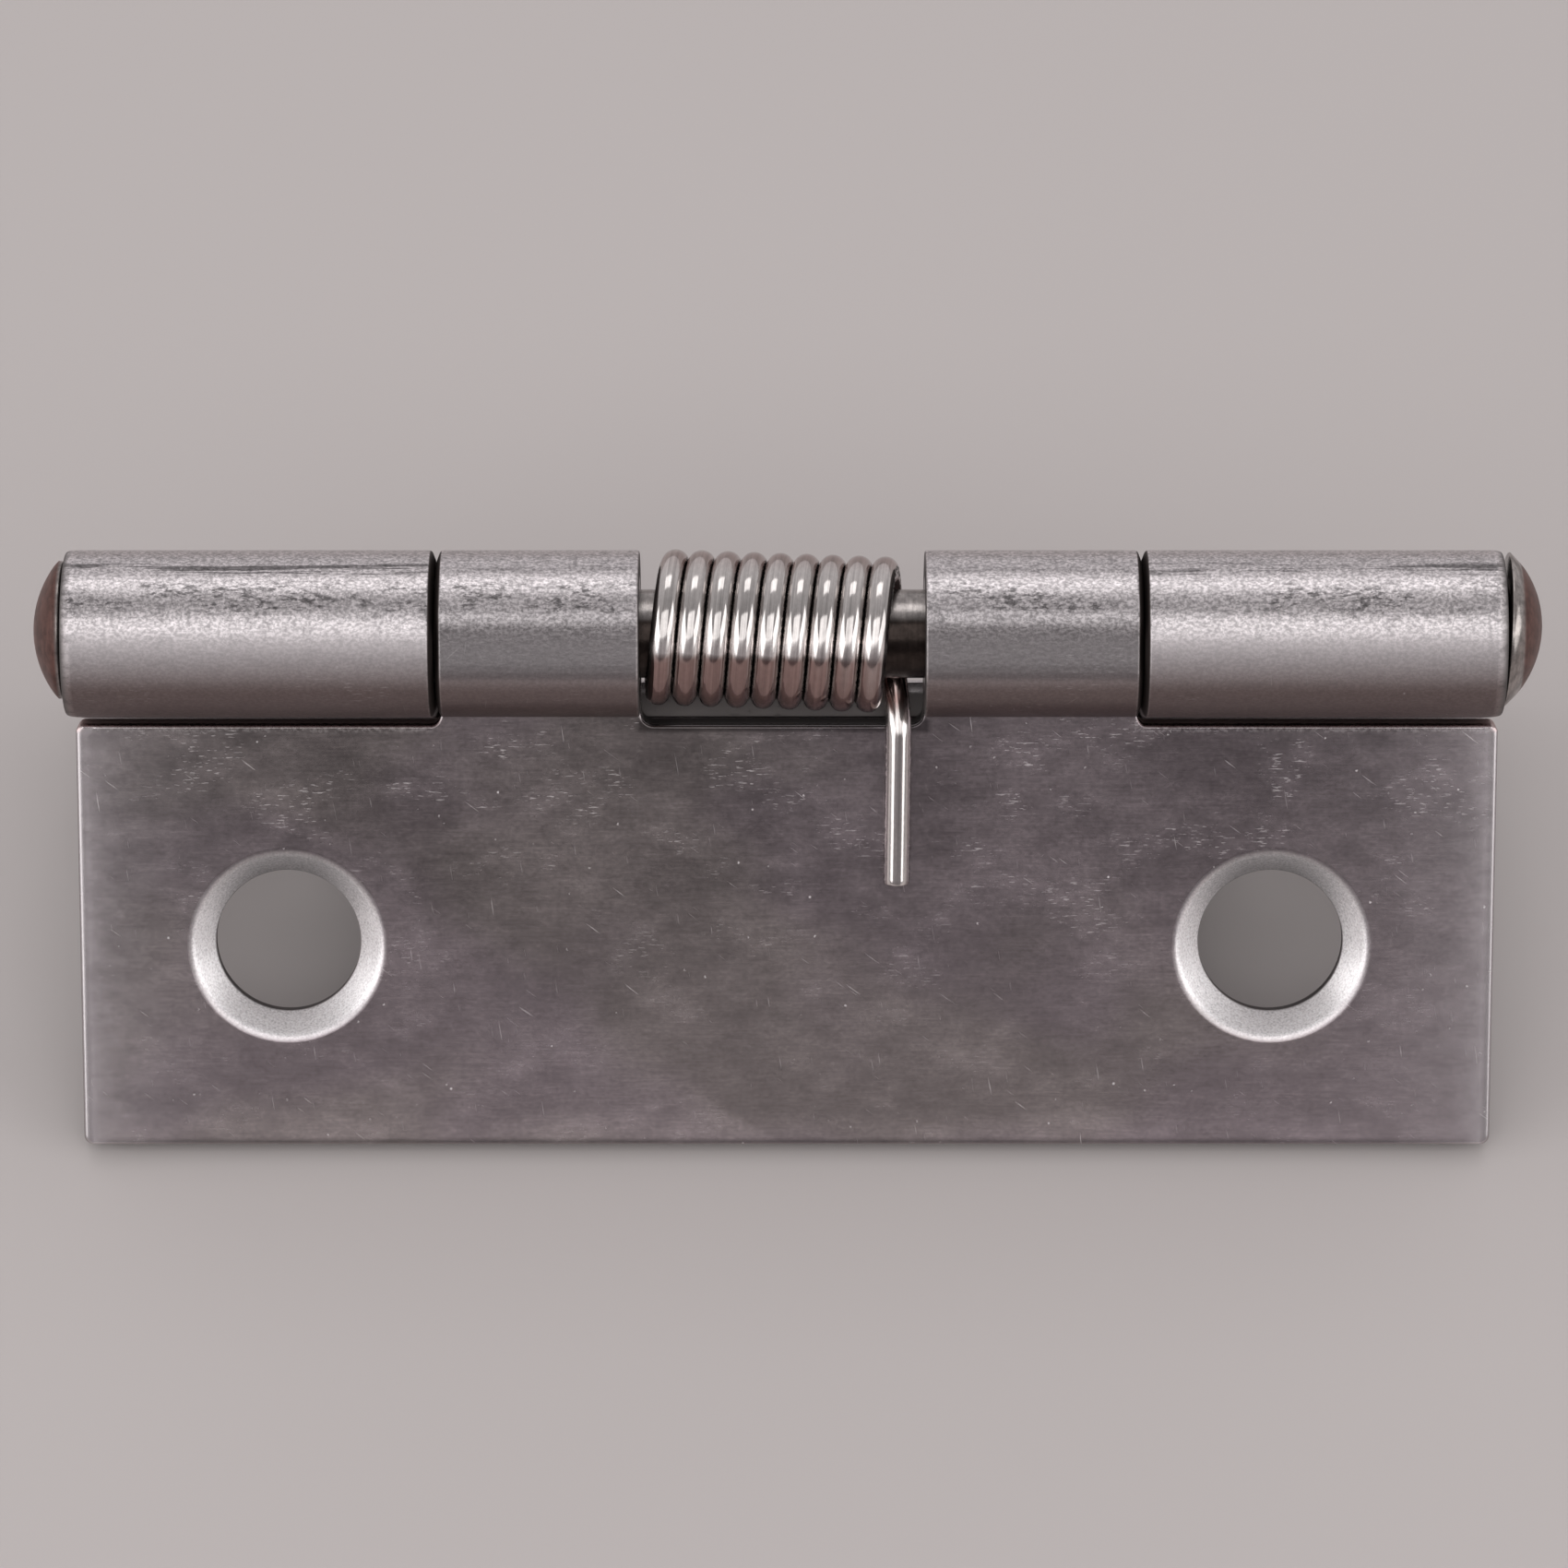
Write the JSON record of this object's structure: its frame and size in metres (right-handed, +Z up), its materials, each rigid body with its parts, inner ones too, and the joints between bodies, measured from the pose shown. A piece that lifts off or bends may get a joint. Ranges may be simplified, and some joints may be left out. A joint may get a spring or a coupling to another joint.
{
  "type": "spring loaded door hinge",
  "caption": "Folded sheet steel door hinge with a torsion spring coiled on its pin, which swings the two leaves back to their stop.",
  "frame": {"origin": "on the floor under the middle of the pin, with the hinge folded to its stop and standing on the free edges of its leaves", "axes": "+X along the pin to the head with the tapered flank, +Y from the door leaf to the frame leaf, +Z up to the barrel"},
  "size_m": [0.0799, 0.032, 0.0294],
  "materials": {
    "leaf_sheet": "mill finish stainless sheet, fine grain along the pin",
    "pin_steel": "drawn and riveted, satin",
    "spring_wire": "polished drawn wire"
  },
  "bodies": {
    "frame": {"frame_leaf": "leaf_sheet", "hinge_pin": "pin_steel", "torsion_spring": "spring_wire"},
    "door": {"door_leaf": "leaf_sheet"}
  },
  "joints": [
    {"name": "leaf_swing", "type": "hinge", "parent": "frame", "child": "door", "pos_m": [0, 0, 0.02501], "axis": [-1, 0, 0], "range_deg": [0, 282], "stiffness_Nm_per_rad": 0.17, "springref_deg": -28.65, "deforming": ["torsion_spring"]}
  ]
}
